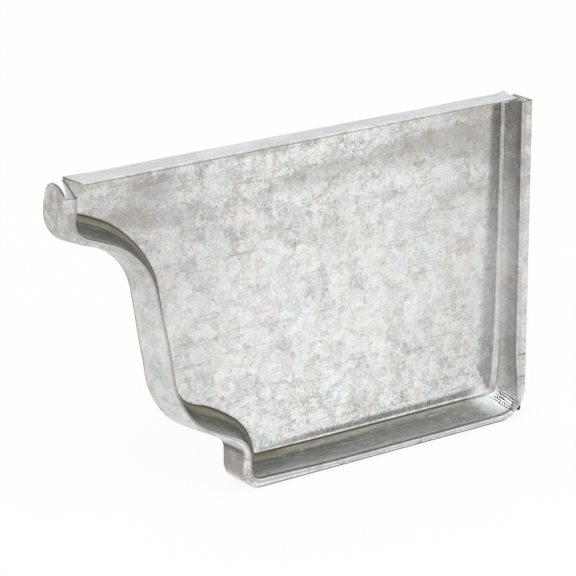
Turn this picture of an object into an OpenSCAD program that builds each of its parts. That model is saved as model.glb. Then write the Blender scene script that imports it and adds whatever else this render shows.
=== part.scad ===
// End cap for an ogee-front rain gutter, folded from one galvanised steel sheet.
// The flat panel closes the gutter's end. A raised U-shaped rim runs round the lip,
// the ogee front, the foot, the bottom and the back, and the gutter's edge slides into it
// from behind. The top edge is turned straight back as a stiffening hem.
// X runs from the front lip to the back wall, Y from the outside into the gutter, Z up.
// The origin is under the middle of the box, on the plane that the bottom stands on.

/* [Outline] */
// Width over the rim, from the front lip to the back wall
cap_w = 132; // [120:1:145]
// Height from the bottom of the rim to the top of the hem
cap_h = 80; // [76:1:90]
// Height of the upright front lip, measured to its sharp corner
lip_h = 10.8; // [9:0.1:14]
// How far the ogee's sloping shoulder runs back from the lip
shoulder_run = 20.4; // [18:0.1:23]
// How far the shoulder falls over that run
shoulder_drop = 8.5; // [6:0.1:10]
// Distance from the lip to the sharp corner of the belly
belly_run = 27.6; // [25:0.1:30]
// Height of the sharp corner of the belly
belly_h = 19.9; // [18:0.1:22]
// Distance from the lip to the outside of the foot
foot_run = 47.1; // [44:0.1:50]
// Height of the foot, measured to its sharp corner
foot_h = 10.4; // [9.8:0.1:12]
// Radius of the hollow under the shoulder
hollow_r = 15.5; // [10:0.1:18]
// Radius of the belly
belly_r = 20; // [15:0.5:26]
// Radius where the belly runs down into the foot
instep_r = 4; // [3:0.1:5]
// Radius of the corner between the lip and the shoulder
lip_corner_r = 6; // [4:0.1:7]
// Radius of the corner between the foot and the bottom
foot_corner_r = 4.6; // [3:0.1:6]
// Radius of the gathered corner between the bottom and the back wall
back_corner_r = 9; // [7.5:0.1:12]

/* [Sheet and rim] */
// Thickness of the sheet
sheet_t = 0.55; // [0.4:0.01:0.8]
// Radius on the inside of the sheet's sharp bends
bend_r = 0.15; // [0.1:0.01:0.3]
// How far the rim stands forward of the panel
rim_rise = 5; // [4.6:0.1:7]
// Width of the rim's front fold along the back wall
rim_w = 2.7; // [2.5:0.1:3]
// Sideways width of the cove between the fold and the panel, along the bottom
cove_w = 4.3; // [3:0.1:4.5]
// Radius of the crease where it turns the lip's corner and the foot's
crease_r = 0.3; // [0.2:0.1:1]
// Radius of the crease inside the gathered corner
gather_r = 4; // [1:0.1:4.5]
// How far the rim's free wall reaches behind the panel's face
wall_back = 3.2; // [2:0.1:5]
// How far the free wall's edge leans outwards along the lip, the ogee and the foot
flare = 0.3; // [0:0.05:0.6]
// How far the fold is drawn in from the edge on the shoulder and below the belly
draw_in = 0.7; // [0:0.1:1]

/* [Hem and ends] */
// Depth of the hem behind the panel's face
hem_d = 6.75; // [5:0.05:9]
// Distance from the front of the lip to the hem's left end
hem_left = 8.1; // [7.5:0.1:12]
// Gap between the hem's right end and the inside of the back wall
hem_gap = 0.6; // [0.3:0.1:2]
// How far the tongue on top of the lip stands above the hem
tongue_rise = 1.8; // [1:0.1:3]
// Radius of the tongue's rear corner
tongue_r = 3.4; // [2:0.1:4.5]
// How far the tongue slopes down towards the front fold
tongue_fall = 2; // [0:0.1:2.5]
// Depth of the notch across the lip's front fold, below the hem
notch_d = 1.5; // [0.5:0.1:3]
// How far the panel's small corner ear stands above the hem
ear_rise = 1.6; // [0.5:0.1:2.5]
// How far the back wall of the rim stands above the hem
back_rise = 0.35; // [0.1:0.05:1]
// Size of the clipped corner on the back wall's top
clip = 1; // [0.4:0.1:2]

/* [Gathered corner] */
// Number of pleats that gather the spare metal in the cove
pleats = 4; // [3:1:6]
// Height of each pleat
pleat_h = 0.6; // [0.2:0.05:0.9]
// How far the pinch pulls the front fold back towards the panel
pinch_back = 1; // [0:0.1:2]
// How far the pinched fold noses out of the corner
pinch_out = 0.6; // [0:0.1:1]

/* [Hidden] */
$fn = 64;
// Steps up the free wall, round each bend of the fold and down the cove
wall_steps = 7;
bend_steps = 3;
cove_steps = 7;
// Steps round an ordinary corner and for each pleat
corner_steps = 7;
pleat_steps = 4;
// Slit between the corner ear and the end of the hem
slit = 0.25;
// Largest radius of a bend, as a share of the fold's width
bend_share = 0.45;
// Share of the gathered corner's turn that the pleats take up, and what the pinch takes up
// each side of the middle
pleats_share = 0.52;
pinch_share = 0.16;

// The rim's section at the start of the route, then at the middle of each run and at the
// corner after it, as shares: fold's width of rim_w, cove's width of cove_w, cove's height of
// the room under the fold, fold's place of draw_in, free wall's lean of flare
section_shares = [
    [1.37, 0.12, 0.2, 0.15, 1], // top of the lip
    [1.37, 0.28, 0.35, 0.15, 1],
    [1.19, 0.7, 0.74, 0.4, 1], // corner of the lip
    [0.6, 1.12, 0.95, 1, 1],
    [0.96, 0.74, 0.79, 0.4, 1], // hollow
    [1.15, 0.6, 0.74, 0, 0.5],
    [0.9, 0.6, 0.8, 0.8, 0.7], // belly
    [0.56, 1, 0.93, 1.3, 0.7],
    [0.65, 0.9, 0.84, 1.1, 0.7], // instep
    [1.15, 0.79, 0.79, 0.15, 0.4],
    [0.96, 0.84, 0.84, 0, 0], // corner of the foot
    [0.6, 1.05, 0.98, 0, 0],
    [0.67, 0.95, 0.93, 0, 0], // gathered corner
    [1.17, 0.4, 0.84, 0, 0],
    [1.17, 0.35, 0.79, 0, 0] // top of the back wall
];

hem_r = sheet_t + bend_r;
lip_top = cap_h + tongue_rise;
back_top = cap_h + back_rise;
fold_start = cap_h - hem_r;
hem_right = cap_w - sheet_t - hem_gap;
// The middle of the box, in X and in Y
mid_x = (cap_w - flare) / 2;
mid_y = (hem_d - rim_rise) / 2;

// Sharp corners of the rim's outside edge from the lip to the back: place, radius, and the
// least radius of the crease inside it
route = [
    [0, lip_top, 0, 0],
    [0, cap_h - lip_h, lip_corner_r, crease_r],
    [shoulder_run, cap_h - lip_h - shoulder_drop, hollow_r, 0],
    [belly_run, belly_h, belly_r, crease_r],
    [foot_run, foot_h, instep_r, 0],
    [foot_run, 0, foot_corner_r, crease_r],
    [cap_w, 0, back_corner_r, gather_r],
    [cap_w, back_top, 0, 0]
];
last = len(route) - 1;
gathered = last - 1;

// Direction from one corner to the next, in degrees
function heading(i) = atan2(route[i + 1][1] - route[i][1], route[i + 1][0] - route[i][0]);
// Turn at a corner: positive to the left, where the rim goes round the outside of the panel
function turn(i) = (heading(i) - heading(i - 1) + 540) % 360 - 180;
function along(a) = [cos(a), sin(a)];
function corner(i) = [route[i][0], route[i][1]];
// Way from a sharp corner to the centre of its arc, for a radius of one
function mitre(i) = (along(heading(i - 1) + 90) + along(heading(i) + 90)) / (1 + cos(turn(i)));
// Radius that places a corner's centre for metal at distance d in from the edge
function reach(i, d) = turn(i) > 0 ? max(route[i][2], d + route[i][3]) : -route[i][2];
// Point at distance d in from the edge on the arc of corner i, where the way in is known
function spot(i, inward, d) = i == 0 || i == last ? corner(i) + d * along(inward)
    : corner(i) + reach(i, d) * mitre(i) - (reach(i, d) - d) * along(inward);

// How far round the gathered corner its stations lie, from 0 to 1
gathers = concat(0,
    [for (k = [0 : pleats * pleat_steps])
        1 / 2 + pleats_share * (k / (pleats * pleat_steps) - 1 / 2)], 1);
turns = [for (k = [0 : corner_steps]) k / corner_steps];
// Stations of the rim: row of section_shares, the two corners whose arcs it lies between, the
// way in, and how far round the gathered corner it lies, or -1 elsewhere
stations = concat(
    [[0, 0, 0, 0, -1]],
    [for (i = [1 : last]) each concat(
        [[2 * i - 1, i - 1, i, heading(i - 1) + 90, -1]],
        i == last ? [] : [for (done = i == gathered ? gathers : turns)
            [2 * i, i, i, heading(i - 1) + 90 + turn(i) * done, i == gathered ? done : -1]])],
    [[2 * last, last, last, 180, -1]]
);
end_station = len(stations) - 1;

// Sizes of the section at row g: fold's width, its bends, cove, and place of the fold
function fold_w(g) = rim_w * section_shares[g][0];
function bend(g) = min(bend_r + sheet_t, fold_w(g) * bend_share);
function cove(g) = [cove_w * section_shares[g][1], (rim_rise - bend(g)) * section_shares[g][2]];
function fold_at(g) = draw_in * section_shares[g][3];
function crease(g) = fold_at(g) + fold_w(g) + cove(g)[0];

// The section as pairs of points, one on each face of the sheet, from the free edge to the
// crease. In a pair, the first number is the distance in from the outside edge and the second
// how far it stands forward of the panel. The wall's points crowd towards its free edge.
function section(g) = let (r = bend(g), front = rim_rise - r, lean = flare * section_shares[g][4])
    concat(
        [for (k = [0 : wall_steps - 1])
            let (share = (k / wall_steps) ^ (4 / 3), c = -wall_back + (front + wall_back) * share,
                d = fold_at(g) * share - lean * (1 - share))
                [[d, c], [d + sheet_t, c]]],
        [for (n = [0, 1]) for (k = [0 : bend_steps])
            let (way = along(180 - 90 * n - 90 * k / bend_steps),
                mid = [fold_at(g) + (n == 0 ? r : fold_w(g) - r), front])
                [mid + r * way, mid + (r - sheet_t) * way]],
        [for (k = [0 : cove_steps])
            let (a = 90 * k / cove_steps, size = cove(g), mid = [crease(g), size[1]],
                out = [size[1] * cos(a), size[0] * sin(a)],
                face = mid - [size[0] * cos(a), size[1] * sin(a)])
                [face, face - sheet_t * out / norm(out)]]
    );
sections = [for (g = [0 : 2 * last]) section(g)];
samples = len(sections[0]);
first_fold = wall_steps;
last_fold = wall_steps + 2 * bend_steps + 1;

// Share of the way up the free wall, round the fold and down the cove at a sample
function up_wall(k) = min(1, k / first_fold);
function round_fold(k) = max(0, min(1, (k - first_fold) / (last_fold - first_fold)));
function down_cove(k) = max(0, (k - last_fold) / (samples - 1 - last_fold));
// Height of the pleats' waves: none at the crease and the fold, most halfway down the cove
function wave(k, q) = abs(q - 1 / 2) > pleats_share / 2 ? 0
    : pleat_h * sin(180 * down_cove(k))
        * (1 - cos(360 * pleats * ((q - 1 / 2) / pleats_share + 1 / 2))) / 2;
// Strength of the pinch, from 0 to 1 on the corner's diagonal
function pinch(q) = q < 0 ? 0 : max(0, 1 - abs(q - 1 / 2) / pinch_share);

// Top of the lip at each sample: tongue on the free wall, notch at the fold, ear at the panel
function tongue_top(c) = let (d = c + wall_back)
    d < tongue_r ? lip_top - tongue_r + sqrt(tongue_r ^ 2 - (tongue_r - d) ^ 2)
        : lip_top - tongue_fall * (d - tongue_r) / (rim_rise + wall_back - tongue_r);
function lip_end(k) = let (c = sections[0][k][0][1], front = rim_rise - bend(0),
        low = cap_h - notch_d, high = tongue_top(front))
    k <= first_fold ? tongue_top(c)
        : k <= last_fold ? high + (low - high) * round_fold(k)
        : low + (cap_h + ear_rise - low) * (front - c) / front;
// Top of the back leg: its wall's corner is clipped, and the cove sinks to the hem's fold
function back_end(k) = let (at = sections[2 * last][k][0])
    k < first_fold ? back_top - max(0, clip - (at[1] + wall_back))
        : back_top - (back_top - fold_start + slit) * down_cove(k);

// One point of the sheet: station s, sample k, face f
function metal(s, k, f) = let (
        way = stations[s][3], q = stations[s][4], at = sections[stations[s][0]][k][f],
        out = pinch_out * pinch(q) * up_wall(k) * (1 - round_fold(k)),
        d = at[0] + wave(k, q) / 2 - out,
        place = (spot(stations[s][1], way, d) + spot(stations[s][2], way, d)) / 2,
        height = s == 0 ? lip_end(k) : s == end_station ? back_end(k) : place[1])
    [place[0], height,
        at[1] + wave(k, q) - pinch_back * pinch(q) * up_wall(k) * (1 - down_cove(k))];

// A point's number in the rim's list of points
function id(s, k, f) = (s * samples + k) * 2 + f;
// Two triangles across four points
function patch(a, b, c, d) = [[a, c, b], [a, d, c]];

module rim() {
    points = [for (s = [0 : end_station]) for (k = [0 : samples - 1]) for (f = [0, 1])
        metal(s, k, f)];
    faces = concat(
        [for (s = [0 : end_station - 1]) for (k = [0 : samples - 2]) each concat(
            patch(id(s, k, 0), id(s + 1, k, 0), id(s + 1, k + 1, 0), id(s, k + 1, 0)),
            patch(id(s, k, 1), id(s, k + 1, 1), id(s + 1, k + 1, 1), id(s + 1, k, 1)))],
        [for (s = [0 : end_station - 1]) each concat(
            patch(id(s, 0, 0), id(s, 0, 1), id(s + 1, 0, 1), id(s + 1, 0, 0)),
            patch(id(s, samples - 1, 1), id(s, samples - 1, 0),
                id(s + 1, samples - 1, 0), id(s + 1, samples - 1, 1)))],
        [for (k = [0 : samples - 2]) each concat(
            patch(id(0, k, 0), id(0, k + 1, 0), id(0, k + 1, 1), id(0, k, 1)),
            patch(id(end_station, k, 1), id(end_station, k + 1, 1),
                id(end_station, k + 1, 0), id(end_station, k, 0)))]
    );
    polyhedron(points, faces);
}

// Section of the hem: X is the height, Y stands towards the front
module hem_section() {
    translate([fold_start, -hem_r])
        intersection() {
            difference() {
                circle(hem_r);
                circle(hem_r - sheet_t);
            }
            square(hem_r);
        }
    translate([cap_h - sheet_t, -hem_d]) square([sheet_t, hem_d - hem_r]);
}

module hem() {
    translate([hem_left, 0, 0])
        rotate([90, 0, 90])
            linear_extrude(hem_right - hem_left)
                hem_section();
}

// The flat panel, up to the start of the hem's fold and the corner ear
module panel() {
    edge = [for (s = [0 : end_station]) let (at = metal(s, samples - 1, 0)) [at[0], at[1]]];
    top = [[cap_w - crease(2 * last) - slit, fold_start], [hem_left, fold_start],
        [hem_left - slit, fold_start], [hem_left - slit, cap_h]];
    translate([0, 0, -sheet_t])
        linear_extrude(sheet_t)
            polygon(concat(edge, top));
}

module end_cap() {
    color("gainsboro")
        translate([-mid_x, -mid_y, 0])
            rotate([90, 0, 0]) {
                rim();
                panel();
                hem();
            }
}

end_cap();
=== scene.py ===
"""Looks of a gutter end cap folded from one spangled galvanised sheet.

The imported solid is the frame. Its one node is replaced by a finer sheet of the same build:
panel, cove, front fold, free wall, hem, and the pleated corner at the back of the bottom.
Working lengths are millimetres in the maker's axes: x from the lip to the back wall,
z up, c forward from the panel's face. They become the row's metres in one place, in_row().
"""
import math

import bpy
import numpy as np
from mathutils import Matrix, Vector


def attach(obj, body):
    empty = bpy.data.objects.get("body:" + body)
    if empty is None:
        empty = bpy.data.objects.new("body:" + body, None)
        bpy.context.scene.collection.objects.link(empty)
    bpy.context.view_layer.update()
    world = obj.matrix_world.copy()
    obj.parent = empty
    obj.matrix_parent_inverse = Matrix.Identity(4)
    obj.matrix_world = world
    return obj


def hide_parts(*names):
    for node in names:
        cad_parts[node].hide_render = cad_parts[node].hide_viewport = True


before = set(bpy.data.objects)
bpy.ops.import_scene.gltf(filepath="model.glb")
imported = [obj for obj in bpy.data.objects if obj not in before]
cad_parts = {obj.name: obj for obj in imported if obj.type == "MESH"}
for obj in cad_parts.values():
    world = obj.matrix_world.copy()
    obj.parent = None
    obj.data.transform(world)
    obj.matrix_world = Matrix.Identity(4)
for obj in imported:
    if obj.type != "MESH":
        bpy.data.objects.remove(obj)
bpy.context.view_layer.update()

MM = 0.001

# Outline of the rim's outside edge, within 1 mm of the part's: x, z and radius at each sharp
# corner, and the least radius of the crease inside it
ROUTE = np.array([
    [0.0, 81.7, 0.0, 0.0],
    [0.0, 69.0, 8.0, 0.3],
    [20.6, 61.2, 15.5, 0.0],
    [27.3, 21.0, 21.0, 0.3],
    [47.1, 10.7, 2.9, 0.0],
    [47.1, 0.0, 5.3, 0.3],
    [132.0, 0.0, 7.6, 4.0],
    [132.0, 80.35, 0.0, 0.0],
])
# Thickness of the sheet
SHEET_T = 0.55
# Height of the hem's top, its depth, the radius of its fold, its ends, and where its fold starts
CAP_H, HEM_D, HEM_R = 80.1, 6.7, 0.6
HEM_LEFT, HEM_RIGHT = 8.1, 131.2
FOLD_START = CAP_H - HEM_R
# How far the rim stands forward of the panel and reaches back behind it, and its bends' radius
RISE, WALL_BACK, BEND_R = 5.0, 3.2, 0.7
# The row's origin in the maker's axes: its x, and its c with the sign turned
MID_X, MID_Y = 65.85, 0.875
# Rise of the slanted strip beside the crease, and how far the ear beside the notch is bent back
STRIP_SLOPE, EAR_BEND = 0.15, 1.7
# Gathered corner: how much closer its pleats run at the fold, their spacing as a share of the
# corner's turn, their height, how far the fold is pinched back, and how far its edge noses out
FAN, PLEAT, PLEAT_HIGH, PINCH, NOSE = 2.2, 0.2, 0.34, 0.7, 1.5
# Dents in the free wall: mm along the rim, half width, depth
DENTS = ((58.0, 2.0, 0.10), (69.5, 2.4, 0.15), (80.0, 3.0, 0.10))
# Samples across the free wall, the fold's outer bend, flat and inner bend, the cove and the panel
WALL_ROWS, OUTER_ROWS, FLAT_ROWS, INNER_ROWS, COVE_ROWS, PANEL_ROWS = 9, 6, 3, 6, 15, 34
FOLD_ROWS = OUTER_ROWS + FLAT_ROWS + INNER_ROWS

# What the rim is at places along the route, whole numbers being the middles of its corners:
# place, how far the fold is drawn in from the edge, its width, sideways width of the cove, its
# height, lean of the free wall, width of the slanted strip beside the crease, darkness of the
# painted shade and reflection in the cove, darkness of the painted reflection on the panel beside
# it
PLACE, DRAWN, FOLD_W, COVE_W, COVE_H, LEAN, STRIP_W, COVE_SHADE, PANEL_SHADE = range(9)
ALONG = np.array([
    [0.0, 0.1, 3.7, 0.4, 0.8, 0.25, 0.1, 0.9, 0.3],
    [0.6, 0.1, 3.4, 1.5, 1.6, 0.28, 0.0, 1.0, 0.1],
    [1.0, 0.3, 2.3, 3.9, 3.4, 0.28, 0.0, 1.0, 0.15],
    [1.25, 0.5, 1.75, 4.45, 4.0, 0.28, 0.0, 1.0, 0.15],
    [1.42, 0.85, 1.4, 4.45, 4.1, 0.28, 0.0, 1.0, 0.15],
    [1.63, 0.8, 1.3, 3.9, 4.0, 0.28, 0.0, 1.0, 0.2],
    [1.75, 0.6, 1.3, 3.3, 3.9, 0.28, 0.0, 0.95, 0.25],
    [2.0, 0.3, 1.6, 2.8, 3.8, 0.28, 0.0, 0.9, 0.3],
    [2.2, 0.1, 2.1, 3.0, 3.6, 0.2, 0.0, 0.85, 0.2],
    [2.5, 0.0, 3.1, 2.2, 3.4, 0.15, 0.0, 0.8, 0.1],
    [2.85, 0.3, 2.7, 1.4, 3.4, 0.20, 0.0, 0.8, 0.1],
    [3.1, 0.6, 1.9, 2.2, 3.6, 0.20, 0.0, 1.0, 0.2],
    [3.36, 0.85, 1.1, 3.9, 3.9, 0.05, 0.0, 1.0, 0.25],
    [3.62, 0.9, 1.1, 4.75, 4.1, 0.0, 0.0, 1.0, 0.25],
    [3.84, 0.6, 1.35, 4.0, 4.0, 0.20, 0.0, 1.0, 0.25],
    [3.96, 0.45, 1.45, 3.3, 3.8, 0.20, 0.0, 1.0, 0.2],
    [4.1, 0.4, 1.8, 3.05, 3.6, 0.15, 0.0, 0.9, 0.1],
    [4.4, 0.2, 2.6, 3.7, 3.5, 0.12, 0.0, 0.85, 0.1],
    [4.7, 0.0, 2.8, 3.8, 3.6, 0.0, 0.0, 0.85, 0.15],
    [5.06, 0.0, 2.2, 4.4, 3.9, 0.0, 0.2, 1.0, 0.4],
    [5.3, 0.0, 1.6, 4.75, 4.15, 0.0, 0.45, 1.0, 0.9],
    [5.8, 0.0, 1.6, 4.7, 4.1, 0.0, 0.5, 0.9, 0.85],
    [5.88, 0.0, 1.65, 4.6, 4.1, 0.0, 0.6, 0.8, 0.85],
    [5.93, 0.0, 1.7, 4.4, 4.05, 0.0, 0.7, 0.35, 0.9],
    [6.0, 0.0, 1.9, 4.0, 4.0, 0.0, 1.3, 0.1, 0.8],
    [6.07, 0.0, 2.4, 3.2, 3.95, 0.0, 1.6, 0.45, 0.75],
    [6.2, 0.0, 3.3, 1.6, 3.8, 0.0, 1.6, 0.5, 0.5],
    [6.5, 0.0, 3.15, 1.6, 3.7, 0.0, 1.3, 0.22, 0.4],
    [6.75, 0.0, 3.15, 1.6, 3.5, 0.0, 1.1, 0.5, 0.7],
    [7.0, 0.0, 3.2, 1.5, 3.3, 0.0, 1.0, 0.9, 1.0],
])


def smooth(x, a, b):
    """0 below a, 1 above b, and t * t * (3 - 2 * t) between, t being the share of the way."""
    t = np.clip((x - a) / (b - a), 0.0, 1.0)
    return t * t * (3.0 - 2.0 * t)


def hump(x, middle, half):
    """A hump of height 1 at middle that dies out over half: exp(-((x - middle) / half) ** 2)."""
    return np.exp(-(((x - middle) / half) ** 2))


def unit(angle):
    """(cos, sin) of an angle in radians, as the last axis."""
    return np.stack([np.cos(angle), np.sin(angle)], axis=-1)


class Walk:
    """Stations along the outside edge of the rim, and points at any distance in from it.

    Leg i runs from corner K to the next along h, with n its way in and t = tan(turn / 2) at
    each end. At a distance d in, a corner of radius r on the inner side has its arc's centre
    at K + e * m, where m is the mitre (n + n') / (1 + cos turn) and e is the larger of r and
    d plus the crease's radius; on the outer side e is -r. A point of the arc is
    K + e * m - (e - d) * u(way in), and one of the leg, at a share s of what the arcs leave,
    is K + d * n + (e * t + s * (L - e' * t' - e * t)) * h.

    length is the arc length of the edge and at is the place in the table ALONG. gathered runs
    from 0 to 1 round the pleated corner, less before it and more after, lip_run from 0 to 1 down
    the lip's straight leg, and back_run from 0 to 1 up the back's.
    """

    def __init__(self, step=0.62, fine=0.26):
        points, radii, least = ROUTE[:, :2], ROUTE[:, 2], ROUTE[:, 3]
        legs = np.diff(points, axis=0)
        heading = np.arctan2(legs[:, 1], legs[:, 0])
        turn = (np.diff(heading) + np.pi) % (2 * np.pi) - np.pi
        bent = np.concatenate([[0.0], turn, [0.0]])
        count, long = len(turn), np.linalg.norm(legs, axis=1)
        away = unit(heading + np.pi / 2)
        mitre = (away[:-1] + away[1:]) / (1 + np.cos(turn))[:, None]
        leg, share, bend = [], [], []
        for i in range(count + 1):
            free = long[i] - radii[i] * abs(np.tan(bent[i] / 2)) \
                - radii[i + 1] * abs(np.tan(bent[i + 1] / 2))
            steps = max(2, int(free / (step * 1.7)))
            more = int(i == count)
            share.append(np.arange(steps + more) / steps)
            leg.append(np.full(steps + more, i))
            bend.append(np.zeros(steps + more, dtype=bool))
            if more:
                break
            gap = fine if i == count - 1 else step
            steps = max(16, int(radii[i + 1] * abs(turn[i]) / gap))
            share.append(np.arange(steps) / steps)
            leg.append(np.full(steps, i))
            bend.append(np.ones(steps, dtype=bool))
        first = np.insert(np.cumsum([len(part) for part in share]), 0, 0)
        leg, self.share, self.bend = (np.concatenate(part) for part in (leg, share, bend))
        self.inward = heading[leg] + np.pi / 2 \
            + np.where(self.bend, bent[leg + 1] * self.share, 0.0)
        self.leg_from, self.leg_to = points[leg], points[leg + 1]
        self.ahead, self.inside, self.long = unit(heading[leg]), away[leg], long[leg]
        self.mitre = mitre[np.minimum(leg, count - 1)]
        self.ends = [(np.sign(bent[k]), radii[k], least[k], np.tan(bent[k] / 2))
                     for k in (leg, leg + 1)]
        edge = self.offset(np.zeros((len(leg), 1)))[:, 0]
        hops = np.linalg.norm(np.diff(edge, axis=0), axis=1)
        self.length = np.insert(np.cumsum(hops), 0, 0.0)
        arc_from, arc_to = self.length[first[1:-1:2]], self.length[first[2:-1:2]]
        knots = np.concatenate([[0.0], (arc_from + arc_to) / 2, self.length[-1:]])
        self.at = np.interp(self.length, knots, np.arange(len(knots)))
        self.gathered = (self.length - arc_from[-1]) / (arc_to[-1] - arc_from[-1])
        self.lip_run = np.clip(self.length / arc_from[0], 0.0, 1.0)
        self.back_run = np.clip(
            (self.length - arc_to[-1]) / (self.length[-1] - arc_to[-1]), 0.0, 1.0)

    def offset(self, d):
        """(x, z) at distances d in from the edge, given on stations by samples."""
        (e0, t0), (e1, t1) = (
            (np.where(side > 0, np.maximum(r, d + least), -r) * (side != 0), t)
            for side, r, least, t in ([part[:, None] for part in end] for end in self.ends))
        start = e0 * t0
        far = start + self.share[:, None] * (self.long[:, None] - e1 * t1 - start)
        on_leg = (self.leg_from[:, None] + d[..., None] * self.inside[:, None]
                  + far[..., None] * self.ahead[:, None])
        on_arc = (self.leg_to[:, None] + e1[..., None] * self.mitre[:, None]
                  - (e1 - d)[..., None] * unit(self.inward)[:, None])
        return np.where(self.bend[:, None, None], on_arc, on_leg)


def table(walk, column):
    """A column of ALONG at every station: straight lines between its rows, then softened by
    a running mean over nine stations."""
    value = np.interp(walk.at, ALONG[:, PLACE], ALONG[:, column])
    padded = np.concatenate([np.full(4, value[0]), value, np.full(4, value[-1])])
    return np.convolve(padded, np.full(9, 1 / 9), mode="valid")


def section(walk):
    """The rim's section at every station, from the free edge to the crease.

    The free wall is a straight line that leans out, at shares t ** 1.6 of its height. The fold is
    a rounded square: a quarter circle, a flat front RISE forward, and a quarter circle back. The
    cove is a hollow of width a and height b, a * (1 - cos(s) ** 1.25) sideways and
    b * (1 - sin(s) ** 1.25) high for s from 0 to a quarter turn, which bends most where it meets
    the fold and the panel. The fold is narrower by three tenths at the pinch. Gives the distance
    in from the outside edge, the stand c, and the share up the wall, round the fold and down the
    cove, each from 0 to 1.
    """
    drawn, width, across, height, lean = (
        table(walk, column)[:, None] for column in (DRAWN, FOLD_W, COVE_W, COVE_H, LEAN))
    power = 1.25
    width = width * (1 - 0.3 * hump(walk.gathered[:, None], 0.5, 0.20))
    bend = np.minimum(BEND_R, 0.45 * width)
    up = np.linspace(0.0, 1.0, WALL_ROWS, endpoint=False)[None] ** 1.6
    first = np.linspace(np.pi, np.pi / 2, OUTER_ROWS)[None]
    flat = np.linspace(0.0, 1.0, FLAT_ROWS + 2)[None, 1:-1]
    second = np.linspace(np.pi / 2, 0.0, INNER_ROWS)[None]
    down = np.linspace(0.0, 1.0, COVE_ROWS)[None]
    height = np.minimum(height, RISE - bend)
    full = 0 * width
    inward = np.concatenate([
        -lean * (1 - up) + drawn * up,
        drawn + bend * (1 + np.cos(first)),
        drawn + bend + (width - 2 * bend) * flat,
        drawn + width - bend * (1 - np.cos(second)),
        drawn + width + across * (1 - np.cos(down * np.pi / 2) ** power)], axis=1)
    stand = np.concatenate([
        full - WALL_BACK + (RISE - bend + WALL_BACK) * up,
        full + RISE - bend * (1 - np.sin(first)),
        full + RISE + 0 * flat,
        full + RISE - bend * (1 - np.sin(second)),
        height * (1 - np.sin(down * np.pi / 2) ** power)], axis=1)
    bow = np.linspace(0.0, 1.0, FOLD_ROWS)[None]
    wall, fold, cove = (np.zeros((1, rows)) for rows in (WALL_ROWS, FOLD_ROWS, COVE_ROWS))
    wall_up = np.concatenate([up, fold + 1, cove + 1], axis=1)
    fold_round = np.concatenate([wall, bow, cove + 1], axis=1)
    cove_down = np.concatenate([wall, fold, down], axis=1)
    return inward, stand, wall_up, fold_round, cove_down


def lip_tops(stand, fold_round):
    """Height of the lip's cut top along the section.

    On the free wall it is a tongue: a quarter ellipse, rear_run by rear_high, at the back, and
    from its crest a curve that falls as the power 2.3 of the way to the fold's corner. It drops
    by drop across the fold, and rises straight back along the inner wall.
    """
    depth = stand + WALL_BACK
    crest, corner, drop = ROUTE[0, 1], 79.2, 0.6
    rear_run, rear_high, crest_end, fall_run = 3.2, 7.6, 3.8, 4.4
    round_off = 1 - np.sqrt(np.clip(1 - (1 - depth / rear_run) ** 2, 0, None))
    fall = (np.clip(depth - crest_end, 0, None) / fall_run) ** 2.3
    tongue = np.where(depth < rear_run, crest - rear_high * round_off,
                      crest - (crest - corner) * fall)
    over = tongue - drop * smooth(fold_round, 0.0, 1.0)
    inner = corner - SHEET_T + 0.66 * (RISE - BEND_R - stand)
    return np.where(fold_round >= 1, inner, over)


def back_tops(stand, fold_round, cove_down):
    """Height of the back leg's cut top: a corner clipped by 1 mm on the free wall, level over
    the fold, then down the cove to just under the hem's fold."""
    top, below = ROUTE[-1, 1], 0.3
    clipped = top - np.clip(1.0 - (stand + WALL_BACK), 0.0, None)
    slope = top - (top - FOLD_START + below) * smooth(cove_down, 0.0, 1.0)
    return np.where(cove_down > 0, slope, np.where(fold_round > 0, top, clipped))


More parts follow.
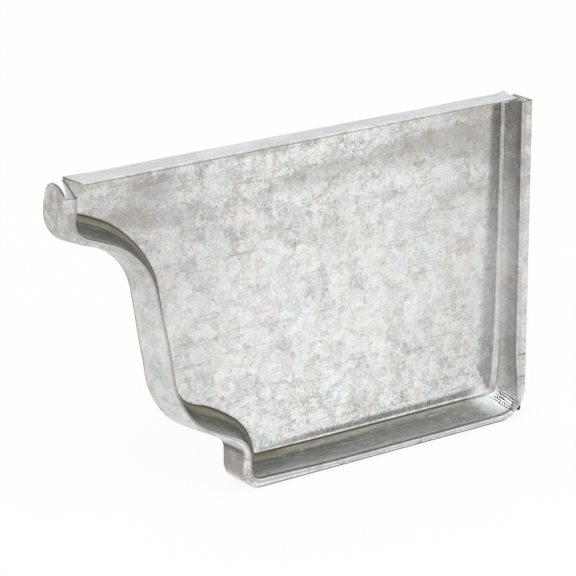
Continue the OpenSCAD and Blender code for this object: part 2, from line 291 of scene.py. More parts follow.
def rim(walk):
    """Rim as x, z, c on a grid of stations by section samples, and how far up the section.

    Pleats, nose and dents are added to the distances, pleats and pinch to the stand; cut tops
    are laid on last. The pleats are |sin(pi * fan / PLEAT)| under a hump of half width PLEAT,
    where fan is the share round the corner's turn from its diagonal, spread by 1 + FAN at the
    fold, so that they run together at the pinch. How far up is 0 at the crease, 1 at the cove's
    top, 2 at the fold's outer end and 3 at the free edge.
    """
    inward, stand, wall_up, fold_round, cove_down = section(walk)
    gathered, length, at = (part[:, None] for part in (walk.gathered, walk.length, walk.at))
    near = np.clip(gathered, -0.5, 1.5) - 0.5
    # Pleats: narrow ridges that fan from the pinch across the cove and die out at the crease
    fan = near * (1.0 + FAN * (1 - cove_down))
    wave = np.abs(np.sin(np.pi * fan / PLEAT))
    high = np.where(fold_round >= 1, np.sin(np.pi * np.clip(cove_down, 0, 1)) ** 0.7, 0.0)
    pleat = PLEAT_HIGH * wave * high * hump(fan, 0.0, PLEAT)
    # Pinch: the fold's crest is drawn back on the corner's diagonal, and its edge noses out
    reach = np.where(fold_round >= 1, (1 - cove_down) ** 1.4,
                     np.where(fold_round > 0, 1.0, wall_up ** 1.6))
    pull = PINCH * hump(near, 0.01, 0.10) * reach
    nose = NOSE * hump(near, 0.03, 0.07) * np.where(fold_round > 0, 1 - fold_round, wall_up)
    # Dents: shallow waves and hollows in the free wall between lip and foot, always inwards
    waves = 0.05 * (1 + np.sin(length / 5.1 + 1.0)) + 0.03 * (1 + np.sin(length / 2.3))
    knocks = sum(deep * hump(length, where, wide) for where, wide, deep in DENTS)
    on_wall = (1 - wall_up) * smooth(at, 0.6, 1.1) * (1 - smooth(at, 4.2, 5.0))
    place = walk.offset(inward + pleat / 2 - nose + (waves + knocks) * on_wall)
    c = stand + pleat - pull
    x, z = place[..., 0], place[..., 1]
    # Cut tops: the lip's and the back's straight legs are stretched to them from their far ends
    lip = lip_tops(stand[:1], fold_round)
    start = np.argmax(walk.lip_run >= 1)
    lower = z[start][None]
    z = np.where(walk.lip_run[:, None] < 1, lip + (lower - lip) * walk.lip_run[:, None], z)
    back = back_tops(stand[-1:], fold_round, cove_down)
    bottom = z[np.argmax(walk.back_run > 0) - 1][None]
    z = np.where(walk.back_run[:, None] > 0,
                 bottom + (back - bottom) * walk.back_run[:, None], z)
    slant = STRIP_SLOPE * table(walk, STRIP_W)[:, None] * smooth(cove_down, 0.3, 1.0)
    up = 3 - wall_up - fold_round - cove_down + 0 * x
    return x, z, c + slant - ear(x, z) * smooth(cove_down, 0.0, 1.0), up


def ear(x, z):
    """How far the small corner beside the hem's left end is bent back: EAR_BEND at its tip."""
    return EAR_BEND * smooth(z, 78.8, 81.5) * (1 - smooth(x, 4.2, 8.2))


def panel(walk, x, z):
    """Panel as x, z, c, with its distance from the crease and the nearest station.

    It is made of straight lines from each station's crease to a place on the hem's fold,
    taken at shares t ** 1.35. It slopes up by STRIP_SLOPE to the crease over the slanted strip,
    and is dished and waved by about a fifth of a mm at most elsewhere.
    """
    cx, cz = x[:, -1], z[:, -1]
    run = np.insert(np.cumsum(np.hypot(np.diff(cx), np.diff(cz))), 0, 0.0)
    share = np.maximum.accumulate(0.5 * (cx - cx[0]) / (cx[-1] - cx[0]) + 0.4 * run / run[-1]) \
        + 0.1 * (np.arange(len(cx)) / len(cx))
    share = (share - share[1]) / (share[-1] - share[1])
    top_x = HEM_LEFT + (cx[-1] - 0.25 - HEM_LEFT) * share
    top_z = np.full_like(top_x, FOLD_START)
    top_x[0], top_z[0] = HEM_LEFT - 0.15, CAP_H
    t = (np.arange(1, PANEL_ROWS + 1) / PANEL_ROWS)[None] ** 1.35
    px = cx[:, None] + (top_x - cx)[:, None] * t
    pz = cz[:, None] + (top_z - cz)[:, None] * t
    gaps = np.hypot(px.reshape(-1, 1) - cx[None], pz.reshape(-1, 1) - cz[None])
    near, distance = gaps.argmin(axis=1).reshape(px.shape), gaps.min(axis=1).reshape(px.shape)
    away = np.minimum(distance / 9.0, 1.0) * smooth(FOLD_START - pz, 0.0, 8.0)
    wave = (0.09 * np.sin(px / 13.0 + pz / 31.0) + 0.07 * np.sin(pz / 9.0 - px / 40.0 + 1.2)
            - 0.05)
    slant = STRIP_SLOPE * np.clip(table(walk, STRIP_W)[near] - distance, 0.0, None)
    return px, pz, wave * away + slant - ear(px, pz), distance, near


def hem(top_x, beyond=7, turn=8, flat=10):
    """Hem as x, z, c on a grid of places along its fold by distance over it: a quarter circle
    of radius HEM_R, then a level strip. It narrows by a seventh towards the right and by a ninth
    more at its end. Its back corners curl up a little, by smooth steps, its back edge strays by
    a tenth of a mm, and its left end slants outwards by 1 mm to the back."""
    xs = np.concatenate([top_x, np.linspace(top_x[-1], HEM_RIGHT, beyond + 1)[1:]])[:, None]
    angle = np.linspace(0.0, np.pi / 2, turn + 1)[None]
    share = np.linspace(0.0, 1.0, flat + 1)[None, 1:]
    z = np.concatenate([FOLD_START + HEM_R * np.sin(angle),
                        np.full((1, flat), CAP_H)], axis=1) + 0 * xs
    c = np.concatenate([HEM_R * np.cos(angle) - HEM_R,
                        -HEM_R - (HEM_D - HEM_R) * share], axis=1) + 0 * xs
    over = np.concatenate([HEM_R * angle, HEM_R * np.pi / 2 + (HEM_D - HEM_R) * share], axis=1)
    back = np.clip((over - 1.5) / 5.7, 0.0, 1.0)
    curl = 0.6 * smooth(xs, 128.0, 131.2) * smooth(back, 0.35, 1.0) \
        + 0.3 * (1 - smooth(xs, 8.0, 16.0)) * smooth(back, 0.2, 1.0)
    sway = 0.10 * np.sin(xs / 17.0) + 0.05 * np.sin(xs / 6.0 + 1.0) - 0.15
    z = z + curl + 0.06 * np.sin(xs / 21.0 + 0.5) * back - 0.06 * back
    c = np.maximum(c - sway * back * (1 - smooth(xs, 125.0, 130.0)) * 0.6, -HEM_D)
    c = c * (1 - 0.14 * smooth(xs, 60.0, 126.0) - 0.11 * smooth(xs, 127.0, 131.0))
    x = xs + 0.0 * z - 1.0 * smooth(back, 0.0, 1.0) * (1 - smooth(xs, HEM_LEFT, HEM_LEFT + 6))
    return x, z, c, over + 0 * xs


def cells(index):
    """Quads over a grid of vertex numbers, facing the side that its two ways turn towards."""
    return np.stack([index[:-1, :-1], index[1:, :-1], index[1:, 1:], index[:-1, 1:]],
                    axis=-1).reshape(-1, 4)


def vertex_normals(points, quads):
    """Sum of the crossed diagonals of the quads round each vertex, made a unit vector."""
    p = points[quads]
    crossed = np.cross(p[:, 2] - p[:, 0], p[:, 3] - p[:, 1])
    total = np.zeros_like(points)
    for k in range(4):
        np.add.at(total, quads[:, k], crossed)
    return total / np.linalg.norm(total, axis=1, keepdims=True)


def open_edges(quads):
    """Directed edges that only one quad has."""
    edges = np.concatenate([np.stack([quads[:, k], quads[:, (k + 1) % 4]], axis=1)
                            for k in range(4)])
    top = int(quads.max()) + 1
    forward, reverse = edges[:, 0] * top + edges[:, 1], edges[:, 1] * top + edges[:, 0]
    return edges[~np.isin(forward, reverse)]


def in_row(x, z, c):
    """Maker's x, z, c in mm to the row's metres: (x - MID_X, -c - MID_Y, z)."""
    return np.stack([x - MID_X, -c - MID_Y, z], axis=-1).reshape(-1, 3) * MM


def front_face():
    """The front of the sheet: points, quads and the values that ride on the vertices.

    The rim and the panel are one grid of stations by rows, and the hem's grid is welded to its
    top row. The values are:
    up, 0 at the crease, 1 at the cove's top, 2 at the fold's outer end, 3 at the free edge, -0.2
    for each mm over the panel, -8 on the hem; along, mm along the rim; across, mm from the
    crease, negative up the cove and positive over the panel; over, mm past the start of the
    hem's fold, negative below it; turned, how far round the gathered corner the nearest station
    is, from -0.5 to 0.5 in it and up to 1.5 either way past it; and cove_shade, panel_shade and
    strip, columns of ALONG.
    """
    walk = Walk()
    x, z, c, up = rim(walk)
    px, pz, pc, distance, near = panel(walk, x, z)
    rim_rows = x.shape[1]
    x, z, c = (np.concatenate(pair, axis=1) for pair in ((x, px), (z, pz), (c, pc)))
    stations, rows = x.shape
    hops = np.sqrt(np.diff(x, axis=1) ** 2 + np.diff(z, axis=1) ** 2 + np.diff(c, axis=1) ** 2)
    run = np.insert(np.cumsum(hops, axis=1), 0, 0.0, axis=1)
    across = run - run[:, rim_rows - 1:rim_rows]
    across[:, rim_rows:] = distance
    # The hem's first row is the panel's top row, welded, and a few new points beyond its end
    hx, hz, hc, over = hem(x[1:, -1])
    index = np.arange(stations * rows).reshape(stations, rows)
    beyond = np.arange(len(hx) - stations + 1) + index.size
    rest = np.arange(hx[:, 1:].size).reshape(hx[:, 1:].shape) + index.size + len(beyond)
    welded = np.concatenate([index[1:, -1], beyond])[:, None]
    new = slice(stations - 1, None)
    points = np.concatenate([
        in_row(x, z, c), in_row(hx[new, 0], hz[new, 0], hc[new, 0]),
        in_row(hx[:, 1:], hz[:, 1:], hc[:, 1:])])
    quads = np.concatenate([cells(index), cells(np.concatenate([welded, rest], axis=1))])

    def spread(value):
        """A value of the stations over the rim, and of the nearest station over the panel."""
        return np.concatenate([np.repeat(value[:, None], rim_rows, axis=1), value[near]], axis=1)

    on_hem = np.zeros(len(beyond) + rest.size)
    front = {
        "up": (np.concatenate([up, -0.2 * distance], axis=1), on_hem - 8.0),
        "along": (np.repeat(walk.length, rows), on_hem),
        "across": (across, on_hem + 40.0),
        "over": (np.minimum(z - FOLD_START, 0.0),
                 np.concatenate([np.zeros(len(beyond)), over[:, 1:].ravel()])),
        "cove_shade": (np.repeat(table(walk, COVE_SHADE), rows), on_hem),
        "panel_shade": (spread(table(walk, PANEL_SHADE)), on_hem),
        "strip": (spread(table(walk, STRIP_W)), on_hem),
        "turned": (spread(np.clip(walk.gathered, -1.0, 2.0) - 0.5), on_hem + 1.5),
    }
    values = {name: np.concatenate([grid.ravel(), hem_values])
              for name, (grid, hem_values) in front.items()}
    return points, quads, values


def folded_sheet():
    """The whole sheet as one closed skin: points, quads, their material slots, and the values.

    The back is the front moved SHEET_T against the vertex normals, and a strip of quads closes
    every cut edge between them.
    """
    points, quads, values = front_face()
    back = points - SHEET_T * MM * vertex_normals(points, quads)
    count, edges = len(points), open_edges(quads)
    cut = np.stack([edges[:, 1], edges[:, 0], edges[:, 0] + count, edges[:, 1] + count], axis=1)
    faces = np.concatenate([quads, quads[:, ::-1] + count, cut])
    slots = np.repeat(np.arange(3, dtype=np.int32), [len(quads), len(quads), len(cut)])
    values = {name: np.tile(value, 2) for name, value in values.items()}
    return np.concatenate([points, back]), faces, slots, values


def mesh_object(name, points, faces, slots, values, materials):
    """Puts the arrays into a smooth mesh whose cut edges stay sharp."""
    mesh = bpy.data.meshes.new(name)
    mesh.vertices.add(len(points))
    mesh.vertices.foreach_set("co", points.astype(np.float32).ravel())
    mesh.loops.add(faces.size)
    mesh.loops.foreach_set("vertex_index", faces.astype(np.int32).ravel())
    mesh.polygons.add(len(faces))
    mesh.polygons.foreach_set("loop_start", np.arange(0, faces.size, 4, dtype=np.int32))
    for material in materials:
        mesh.materials.append(material)
    mesh.polygons.foreach_set("material_index", slots)
    mesh.update(calc_edges=True)
    mesh.validate()
    mesh.polygons.foreach_set("use_smooth", np.ones(len(mesh.polygons), dtype=bool))
    mesh.set_sharp_from_angle(angle=math.radians(50))
    for key, value in values.items():
        layer = mesh.attributes.new(key, "FLOAT", "POINT")
        layer.data.foreach_set("value", value.astype(np.float32))
    piece = bpy.data.objects.new(name, mesh)
    bpy.context.scene.collection.objects.link(piece)
    return piece


class Wire:
    """A value on a node tree. Arithmetic on it adds Math nodes."""

    def __init__(self, bench, socket):
        self.bench, self.socket = bench, socket

    def maths(self, operation, *values):
        """The wire out of a Math node with these values or wires in."""
        return self.bench.add("ShaderNodeMath", dict(enumerate(values)), operation=operation)

    def __add__(self, other):
        return self.maths("ADD", self, other)

    def __radd__(self, other):
        return self.maths("ADD", other, self)

    def __sub__(self, other):
        return self.maths("SUBTRACT", self, other)

    def __rsub__(self, other):
        return self.maths("SUBTRACT", other, self)

    def __mul__(self, other):
        return self.maths("MULTIPLY", self, other)

    def __rmul__(self, other):
        return self.maths("MULTIPLY", other, self)

    def __truediv__(self, other):
        return self.maths("DIVIDE", self, other)

    def __rtruediv__(self, other):
        return self.maths("DIVIDE", other, self)

    def step(self, low, high):
        """0 below low and 1 above high, smoothly; the other way round if low is above high."""
        return self.bench.add("ShaderNodeMapRange", {"Value": self, "From Min": low,
                              "From Max": high}, interpolation_type="SMOOTHSTEP")

    def line(self, middle, half):
        """1 on a thin line at middle, and 0 at half from it and beyond."""
        return (self - middle).size().step(half, 0.0)

    def size(self):
        """The value without its sign."""
        return self.maths("ABSOLUTE", self)

    def least(self, other):
        """The smaller of the two."""
        return self.maths("MINIMUM", self, other)

    def sine(self, by):
        """The sine of the value times by, in radians."""
        return self.maths("SINE", self * by)


class Bench:
    """The nodes of a material or a world, and the one way that they are made."""

    def __init__(self, finish):
        finish.use_nodes = True
        self.tree = finish.node_tree
        self.tree.nodes.clear()

    def add(self, kind, sockets=(), out=0, stops=(), **settings):
        """Adds a node: its settings first, then its ramp's stops, then values or wires into
        its sockets. Gives the wire that leaves it, or all of them if out is None."""
        node = self.tree.nodes.new(kind)
        for key, value in settings.items():
            setattr(node, key, value)
        if stops:
            ramp = node.color_ramp
            while len(ramp.elements) < len(stops):
                ramp.elements.new(0.5)
            for element, (where, colour) in zip(ramp.elements, stops):
                element.position = where
                element.color = (*colour, 1.0)
        for key, value in dict(sockets).items():
            if isinstance(value, Wire):
                self.tree.links.new(value.socket, node.inputs[key])
            else:
                node.inputs[key].default_value = value
        if out is None:
            return [Wire(self, socket) for socket in node.outputs]
        return Wire(self, node.outputs[out])

    def mix(self, share, a, b, blend="MIX"):
        """Colour a turned towards colour b by share."""
        sockets = {0: share, 6: a if isinstance(a, Wire) else (*a, 1.0),
                   7: b if isinstance(b, Wire) else (*b, 1.0)}
        return self.add("ShaderNodeMix", sockets, out=2, data_type="RGBA", blend_type=blend)

    def stretch(self, vector, by):
        """A vector multiplied by another, part by part."""
        return self.add("ShaderNodeVectorMath", {0: vector, 1: by}, operation="MULTIPLY")

    def noise(self, vector, scale, detail=2.0, rough=0.5, out=0):
        """A noise of scale lumps to the unit, from 0 to 1; out=1 gives its colour."""
        return self.add("ShaderNodeTexNoise", {"Vector": vector, "Scale": scale,
                        "Detail": detail, "Roughness": rough}, out=out)

    def parts(self, colour):
        """The red, green and blue of a colour, or the x, y and z of a vector."""
        return self.add("ShaderNodeSeparateXYZ", {0: colour}, out=None)

    def place(self):
        """Where the point is in the row's axes, in mm."""
        spot = self.add("ShaderNodeTexCoord", out=3)
        return self.add("ShaderNodeVectorMath", {0: spot, "Scale": 1000.0}, operation="SCALE")

    def value(self, name):
        """A value that rides on the mesh."""
        return self.add("ShaderNodeAttribute", attribute_name=name, out=2)


# Colours of the finishes, stains, lines and painted light and shade, as linear red, green and
# blue
SMEAR = (0.36, 0.34, 0.315)
SPECK = (0.12, 0.115, 0.11)
PANEL_DARK_REFLECTION = (0.17, 0.162, 0.148)
STRIP_HIGHLIGHT = (0.80, 0.795, 0.78)
COVE_STREAK_LIGHT = (0.60, 0.63, 0.63)
COVE_STREAK_DARK = (0.055, 0.055, 0.045)
OGEE_BROWN = (0.135, 0.118, 0.078)
OGEE_DARK = (0.045, 0.043, 0.032)
BACK_BROWN = (0.145, 0.135, 0.12)
FOLD_SHADE = (0.38, 0.372, 0.365)
FOLD_SHADE_LINE = (0.20, 0.165, 0.15)
STEEP_LINE = (0.20, 0.19, 0.175)
CREASE_SHADE = (0.045, 0.036, 0.02)
EDGE_SHADE = (0.14, 0.13, 0.125)
UNDERSIDE_SHADE = (0.05, 0.05, 0.052)
FOOT_RED_REFLECTION = (0.25, 0.222, 0.208)
FOOT_SHADOW = (0.06, 0.055, 0.05)
HEM_FOLD_SHADE = (0.16, 0.155, 0.14)
HEM_TOP_REFLECTION = (0.615, 0.635, 0.66)
EAR_DULL = (0.24, 0.22, 0.20)
NICK = (0.22, 0.20, 0.185)
CORNER_REFLECTION = (0.74, 0.82, 0.86)
CORNER_HIGHLIGHT = (0.97, 0.985, 1.0)
DAB_GLINT = (0.92, 0.92, 0.92)
PLEAT_SHADE = (0.02, 0.022, 0.026)
LILAC = (0.34, 0.325, 0.34)
GAP_SHADE = (0.003, 0.003, 0.003)
BACK_DULL = (0.36, 0.35, 0.33)


def finish_metal(bench, colour, rough, height):
    """Puts colour, roughness and relief on one metal shader."""
    relief = bench.add("ShaderNodeBump", {"Strength": 0.22, "Distance": 0.00012,
                       "Height": height})
    shader = bench.add("ShaderNodeBsdfPrincipled", {"Base Color": colour, "Roughness": rough,
                       "Metallic": 0.92, "Normal": relief})
    bench.add("ShaderNodeOutputMaterial", {"Surface": shader}, out=None)


def zinc(bench):
    """What the front and the back of the sheet share: crystals of zinc and rolling marks.

    Positions are in mm. Crystals are cells about 5 and 1.8 mm across with frayed borders;
    inside each big cell a stretched noise is turned by the cell's own angle, which gives the
    needles. Veins are thin level lines of a noise, frost is a grain of two thirds of a mm, and
    rolling marks are a noise drawn out along x. All of it is rougher away from mid height.
    Gives the place in mm, the metal's colour, the needles, the frost and the clouds.
    """
    mm = bench.place()
    fray = bench.noise(mm, 0.6, 3.0, 0.65, out=1)
    centred = bench.add("ShaderNodeVectorMath", {0: fray, 1: (0.5, 0.5, 0.5)},
                        operation="SUBTRACT")
    shift = bench.add("ShaderNodeVectorMath", {0: centred, "Scale": 3.0}, operation="SCALE")
    warped = bench.add("ShaderNodeVectorMath", {0: mm, 1: shift}, operation="ADD")
    big = bench.add("ShaderNodeTexVoronoi", {"Vector": warped, "Scale": 0.2}, out=1)
    small = bench.add("ShaderNodeTexVoronoi", {"Vector": warped, "Scale": 0.55}, out=1)
    big_turn, big_tone, big_tint = bench.parts(big)
    small_tone = bench.parts(small)[1]
    grown = bench.add("ShaderNodeVectorRotate", {"Vector": warped, "Axis": (0.0, 1.0, 0.0),
                      "Angle": big_turn * 6.283}, rotation_type="AXIS_ANGLE")
    needles = bench.noise(bench.stretch(grown, (0.7, 1.2, 3.6)), 1.0, 4.0, 0.65)
    frost = bench.noise(mm, 1.5, 3.0, 0.7)
    cloud = bench.noise(mm, 0.055, 2.0, 0.5)
    roll = bench.noise(bench.stretch(mm, (0.05, 0.8, 1.9)), 1.0, 4.0, 0.7)
    veins = bench.noise(warped, 1.5, 2.0, 0.5).line(0.5, 0.055)
    at_z = bench.parts(mm)[2]
    rougher = 0.84 + 0.5 * (at_z - 40.0).size().step(4.0, 38.0)
    grain = (0.18 * (big_tone - 0.5) + 0.24 * (small_tone - 0.5) + 0.55 * (needles - 0.5)
             + 0.70 * (frost - 0.5) - 0.20 * veins)
    tone = 0.585 + rougher * grain - 0.18 * roll.step(0.52, 0.74)
    metal = bench.add("ShaderNodeValToRGB", {0: tone}, stops=(
        (0.12, (0.36, 0.35, 0.335)), (0.36, (0.60, 0.595, 0.58)), (0.54, (0.77, 0.775, 0.77)),
        (0.80, (0.92, 0.93, 0.93))))
    tint = bench.add("ShaderNodeValToRGB", {0: 0.45 * big_tint + 0.55 * cloud}, stops=(
        (0.25, (1.0, 0.98, 0.95)), (0.5, (1.0, 0.998, 0.985)), (0.75, (0.96, 0.985, 1.0))))
    metal = bench.mix(1.0, metal, tint, blend="MULTIPLY")
    return mm, metal, needles, frost, cloud


def galvanised_front():
    """Front and outer face: spangled zinc with painted dark reflections and shade in the cove and
    beside it, painted shade lines along the bends, specks and rolling marks."""
    finish = bpy.data.materials.new("galvanised_front")
    bench = Bench(finish)
    mm, metal, needles, frost, _ = zinc(bench)
    at_x, at_y, at_z = bench.parts(mm)
    along, across, over, up, strip, turned, cove_shade, panel_shade = (
        bench.value(name) for name in
        ("along", "across", "over", "up", "strip", "turned", "cove_shade", "panel_shade"))
    # Duller and browner towards the hem, in long smears, and towards both sides
    smear = bench.noise(bench.stretch(mm, (0.03, 0.3, 0.17)), 1.0, 3.0, 0.6)
    upper = at_z.step(42.0, 80.0) * (0.35 + 1.3 * smear.step(0.42, 0.62))
    left = at_x.step(-10.0, -45.0)
    metal = bench.mix(0.34 * upper + 0.20 * at_x.step(5.0, 60.0) + 0.24 * left, metal, SMEAR)
    # Specks: small spots in the middle of some cells
    far, colour, _, _, _ = bench.add("ShaderNodeTexVoronoi", {"Vector": mm, "Scale": 0.3},
                                     out=None)
    speck = far.step(0.11, 0.04) * bench.parts(colour)[0].step(0.55, 0.65)
    metal = bench.mix(0.6 * speck, metal, SPECK)
    metal = panel_reflections(bench, metal, across, strip, panel_shade, needles, frost)
    metal = cove_shade_and_reflections(bench, metal, along, up, at_y, turned, cove_shade, needles, frost)
    metal = dark_edges(bench, metal, up, over, at_x, at_z, frost)
    metal = gathered_corner(bench, metal, up, across, strip, turned, frost)
    rough = 0.42 + 0.16 * (needles - 0.5)
    finish_metal(bench, metal, rough, needles * 0.6 + frost * 0.8 - 0.4 * speck)
    return finish


def panel_reflections(bench, metal, across, strip, panel_shade, needles, frost):
    """Beside the crease: a painted highlight, then a speckled painted dark reflection with a
    ragged far border.
    """
    ragged = across - strip + 1.8 * (needles - 0.5) + 1.2 * (frost - 0.5)
    wide = 0.5 + 2.8 * strip
    dark_reflection = (across - strip).step(0.0, 0.2) * (ragged / wide).step(1.15, 0.6)
    # Painted dark reflection of the rim on the panel beside the crease
    metal = bench.mix(dark_reflection * panel_shade * (0.86 + 1.7 * (frost - 0.5)), metal, PANEL_DARK_REFLECTION)
    # Painted highlight along the slanted strip beside the crease
    bright = across.step(0.0, 0.1) * (strip - across).step(-0.1, 0.15)
    return bench.mix(0.6 * bright * (1.0 - 0.75 * panel_shade), metal, STRIP_HIGHLIGHT)


def cove_shade_and_reflections(bench, metal, along, up, at_y, turned, cove_shade, needles, frost):
    """The cove's dark bands, one above the other from the crease at 0 to the fold at 1.

    Streaks drawn along the rim stir them. The bands are painted reflection and shade in the base
    colour. They are browner and darker on the ogee, and give way to brown mottling beside the
    back wall. A painted reddish shade line runs where the fold begins and a painted grey shade on
    its bend that dims the lamp's highlight, a dark one on the fold's edge where the ogee is
    steep, and a thin painted shade line in the crease.
    """
    flow = bench.add("ShaderNodeCombineXYZ", {0: along * 0.055, 1: up * 6.5, 2: at_y * 0.1})
    streak = bench.noise(flow, 1.0, 4.0, 0.65)
    fine = bench.add("ShaderNodeCombineXYZ", {0: along * 0.35, 1: up * 17.0, 2: at_y * 0.1})
    fine_streak = bench.noise(fine, 1.0, 3.0, 0.65)
    stirred = up + 0.30 * (streak - 0.5) + 0.10 * (frost - 0.5)
    # Painted reflection and shade: dark bands in the base colour, from the crease up to the fold
    bands = bench.add("ShaderNodeValToRGB", {0: stirred}, stops=(
        (0.0, (0.17, 0.155, 0.105)), (0.12, (0.28, 0.268, 0.22)), (0.24, (0.20, 0.198, 0.17)),
        (0.34, (0.10, 0.104, 0.082)), (0.48, (0.125, 0.13, 0.112)), (0.62, (0.19, 0.197, 0.185)),
        (0.76, (0.26, 0.268, 0.262)), (0.90, (0.50, 0.515, 0.53)), (1.0, (0.42, 0.39, 0.38))))
    # Light and dark streaks stirred into the painted reflection bands
    bands = bench.mix(fine_streak.step(0.52, 0.74) * 0.24, bands, COVE_STREAK_LIGHT)
    bands = bench.mix(fine_streak.step(0.47, 0.30) * 0.5, bands, COVE_STREAK_DARK)
    back = turned.step(0.4, 0.7)
    mottle = 1.2 * (needles - 0.5) + 1.5 * (frost - 0.5)
    ogee = along.step(118.0, 112.0)
    bands = bench.mix(0.8 * up.line(0.14, 0.18) * ogee, bands, OGEE_BROWN)
    bands = bench.mix(0.38 * up.line(0.5, 0.5) * ogee, bands, OGEE_DARK)
    bands = bench.mix(0.9 * back, bands, BACK_BROWN)
    inside = up.step(0.0, 0.03) * up.step(1.1, 0.98)
    shade = 1.0 + 0.3 * (streak - 0.5) + back * (mottle - 0.45 * up.step(0.3, 0.9))
    # The painted shade and reflection bands go into the metal's colour inside the cove
    metal = bench.mix(inside * cove_shade * shade, metal, bands)
    # Painted shade: grey over the fold's inner bend, dimming the lamp's highlight there
    metal = bench.mix(0.9 * up.line(1.3, 0.22) * cove_shade, metal, FOLD_SHADE)
    # Painted shade: a dark reddish line where the fold begins
    metal = bench.mix(0.85 * up.line(1.05, 0.15 - 0.06 * back) * cove_shade, metal, FOLD_SHADE_LINE)
    steep = along.step(38.0, 46.0) * along.step(92.0, 84.0)
    metal = bench.mix(0.8 * up.line(1.16, 0.22) * steep, metal, STEEP_LINE)
    # Painted shade: a thin dark line in the crease
    return bench.mix(0.97 * up.line(0.03, 0.10) * cove_shade, metal, CREASE_SHADE)


def dark_edges(bench, metal, up, over, at_x, at_z, frost):
    """Painted shade: thin dark lines where the sheet turns away, at the free edge, the underside
    of the bottom and the hem's fold, and a painted shadow under the instep. The hem's top has a
    painted pale bluish reflection tone, and the foot's outer wall a dull, reddish painted
    reflection. The bent ear is dull, and two nicks cross the fold low on the back."""
    # Painted shade along the free edge
    metal = bench.mix(0.7 * up.step(2.9, 3.0), metal, EDGE_SHADE)
    # Painted shade on the underside of the bottom, which faces down
    under = at_z.step(0.62, 0.42) * up.step(1.4, 1.6) * up.step(2.3, 2.1)
    metal = bench.mix(0.85 * under, metal, UNDERSIDE_SHADE)
    # Painted reflection: the foot's outer wall darker and reddish
    foot = at_x.line(-18.9, 1.6) * at_z.step(11.0, 9.6) * at_z.step(0.8, 2.4) * up.step(1.75, 2.1)
    metal = bench.mix(foot * (0.78 + 1.3 * (frost - 0.5)), metal, FOOT_RED_REFLECTION)
    metal = bench.mix(0.75 * foot * at_z.step(8.0, 9.8), metal, FOOT_SHADOW)
    # Painted shade line along the hem's fold
    metal = bench.mix(0.85 * over.line(0.2, 0.26) * over.step(-0.05, 0.1), metal, HEM_FOLD_SHADE)
    ear = at_z.step(78.6, 80.2) * at_x.step(-57.0, -58.6) * up.step(0.4, 0.0)
    metal = bench.mix(ear * (0.55 + 1.2 * (frost - 0.5)), metal, EAR_DULL)
    nicks = (at_z.line(16.4, 0.45) + at_z.line(10.6, 0.4)) * at_x.step(60.0, 62.0)
    nicks = nicks * up.step(1.15, 1.3) * up.step(2.0, 1.8)
    metal = bench.mix(0.75 * nicks, metal, NICK)
    # Painted reflection tone: the hem's top bluish and less bright, tempering the lamp's glare
    return bench.mix(0.66 * over.step(0.45, 0.8), metal, HEM_TOP_REFLECTION)


def gathered_corner(bench, metal, up, across, strip, turned, frost):
    """Painted pale blue reflection in the cove that turns to a painted white highlight round the
    corner, with broken painted shade lines between the pleats, which run together at a painted
    black shade in the gap in the fold's edge. On the panel's side are a painted bright glint and
    a dull lilac facet at the end of the slanted strip."""
    fan = turned * (1.0 + FAN * up.least(1.0))
    # Painted reflection: pale blue in the cove towards the corner
    blue = (turned - 0.2 * up + 0.3 * (frost - 0.5)).step(-1.0, -0.55) * turned.step(0.1, -0.2)
    blue = blue * up.step(0.04, 0.12) * up.step(0.98, 0.75)
    metal = bench.mix(0.62 * blue, metal, CORNER_REFLECTION)
    # Painted highlight: white round the corner's diagonal
    sheen = turned.line(-0.06, 0.42) * up.step(0.02, 0.1) * up.step(1.05, 0.9)
    metal = bench.mix(0.95 * sheen, metal, CORNER_HIGHLIGHT)
    # Painted shade line where the fold begins, round the gathered corner
    rim_line = up.line(1.05, 0.14) * turned.line(-0.45, 0.55)
    metal = bench.mix(0.8 * rim_line, metal, FOLD_SHADE_LINE)
    # Painted highlight: a bright glint on the panel beside the corner
    glint = turned.line(-0.5, 0.42) * across.step(0.3, 0.8) * across.step(3.4, 2.2)
    metal = bench.mix(0.8 * glint, metal, DAB_GLINT)
    # Painted shade lines in the grooves between the pleats, bent and broken by the frost, and
    # only near the diagonal
    bent = fan + 0.34 * (frost - 0.5)
    lines = bent.sine(math.pi / PLEAT).size().step(0.86, 0.40)
    lines = lines * (0.5 + frost.step(0.3, 0.5)).least(1.0)
    near = fan.size().step(0.62, 0.42) * up.step(0.10, 0.35) * up.step(1.5, 1.2)
    metal = bench.mix(0.97 * lines * near, metal, PLEAT_SHADE)
    facet = turned.line(0.1, 0.45) * across.step(0.0, 0.1) * (strip - across).step(-0.1, 0.2)
    metal = bench.mix(0.7 * facet, metal, LILAC)
    # Painted shade: near black in the gap where the fold is pinched
    gap = turned.line(0.03, 0.085).step(0.35, 0.55) * up.step(1.45, 1.65) * up.step(2.9, 2.7)
    return bench.mix(gap, metal, GAP_SHADE)


def galvanised_back():
    """Back and inner face: the same crystals, a little duller and without the stains."""
    finish = bpy.data.materials.new("galvanised_back")
    bench = Bench(finish)
    _, metal, needles, frost, cloud = zinc(bench)
    metal = bench.mix(0.12 + 0.1 * cloud, metal, BACK_DULL)
    finish_metal(bench, metal, 0.44 + 0.16 * (needles - 0.5), needles * 0.6 + frost * 0.8)
    return finish


def cut_edge():
    """Sheared edge of the sheet: dark bare steel with a fine grain."""
    finish = bpy.data.materials.new("cut_edge")
    bench = Bench(finish)
    grain = bench.noise(bench.place(), 3.0, 3.0, 0.6)
    metal = bench.add("ShaderNodeValToRGB", {0: grain}, stops=(
        (0.3, (0.09, 0.088, 0.085)), (0.7, (0.22, 0.215, 0.21))))
    finish_metal(bench, metal, 0.42 + 0.2 * (grain - 0.5), grain)
    return finish


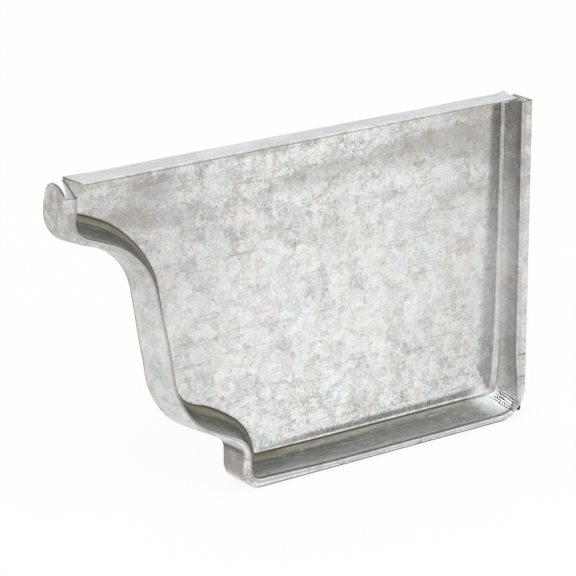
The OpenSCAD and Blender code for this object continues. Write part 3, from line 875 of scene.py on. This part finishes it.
def area_light(name, place, size, watts):
    """A soft white square lamp at place, in metres, turned to the middle of the cap."""
    lamp = bpy.data.lights.new(name, "AREA")
    lamp.shape, lamp.size, lamp.energy = "SQUARE", size, watts
    thing = bpy.data.objects.new(name, lamp)
    thing.location = place
    to_cap = Vector((0, 0, 0.04)) - Vector(place)
    thing.rotation_euler = to_cap.to_track_quat("-Z", "Y").to_euler()
    bpy.context.scene.collection.objects.link(thing)


def seen_directly(bench):
    """1 for camera, glossy and transmission rays, else 0."""
    path = bench.add("ShaderNodeLightPath", out=None)
    names = {wire.socket.name: wire for wire in path}
    return names["Is Camera Ray"] + names["Is Glossy Ray"] + names["Is Transmission Ray"]


def white_world(strength):
    """A white world: plain light of that strength, and pure white where it is seen."""
    world = bpy.data.worlds.new("studio")
    bench = Bench(world)
    seen = seen_directly(bench).step(0.0, 1.0)
    light = bench.add("ShaderNodeBackground", {"Color": (1.0, 1.0, 1.0, 1.0),
                      "Strength": strength + (1 - strength) * seen})
    bench.add("ShaderNodeOutputWorld", {"Surface": light}, out=None)
    bpy.context.scene.world = world


def pale_floor():
    """A plain floor that shows almost white and keeps the object's shadow."""
    paint = bpy.data.materials.new("pale_floor")
    bench = Bench(paint)
    seen = seen_directly(bench).step(0.0, 1.0)
    matt = bench.add("ShaderNodeBsdfDiffuse", {"Color": (0.93, 0.93, 0.93, 1.0)})
    glow = bench.add("ShaderNodeEmission", {"Color": (1.0, 1.0, 1.0, 1.0), "Strength": 1.0})
    both = bench.add("ShaderNodeMixShader", {0: 0.86 * seen, 1: matt, 2: glow})
    bench.add("ShaderNodeOutputMaterial", {"Surface": both}, out=None)
    mesh = bpy.data.meshes.new("floor")
    mesh.from_pydata([(-4, -4, 0), (4, -4, 0), (4, 4, 0), (-4, 4, 0)], [], [(0, 1, 2, 3)])
    mesh.materials.append(paint)
    floor = bpy.data.objects.new("floor", mesh)
    bpy.context.scene.collection.objects.link(floor)


def camera():
    """The photograph's view: a long lens, round to the lip's side of a point on the panel and
    raised, in degrees. The point is in the row's mm, and the distance from it in metres."""
    side, raised = math.radians(-36.1), math.radians(18.5)
    point, distance = Vector((-2.57, -0.875, 45.37)) * MM, 0.7285
    back = Vector((math.sin(side) * math.cos(raised), -math.cos(side) * math.cos(raised),
                   math.sin(raised)))
    data = bpy.data.cameras.new("camera")
    data.sensor_width, data.lens = 36.0, 197.35
    data.clip_start, data.clip_end = 0.01, 20.0
    thing = bpy.data.objects.new("camera", data)
    thing.location = point + back * distance
    thing.rotation_euler = (-back).to_track_quat("-Z", "Y").to_euler()
    bpy.context.scene.collection.objects.link(thing)
    bpy.context.scene.camera = thing


camera()
cap = mesh_object("end_cap_sheet", *folded_sheet(),
                  [galvanised_front(), galvanised_back(), cut_edge()])
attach(cap, "root")
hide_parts("end_cap")

pale_floor()
white_world(0.75)
area_light("key", (-0.55, -0.55, 0.75), size=1.1, watts=4.0)
area_light("fill", (0.8, -0.7, 0.45), size=1.0, watts=2.0)
area_light("top", (0.1, 0.3, 0.95), size=1.1, watts=1.6)
bpy.context.scene.view_settings.view_transform = "Standard"
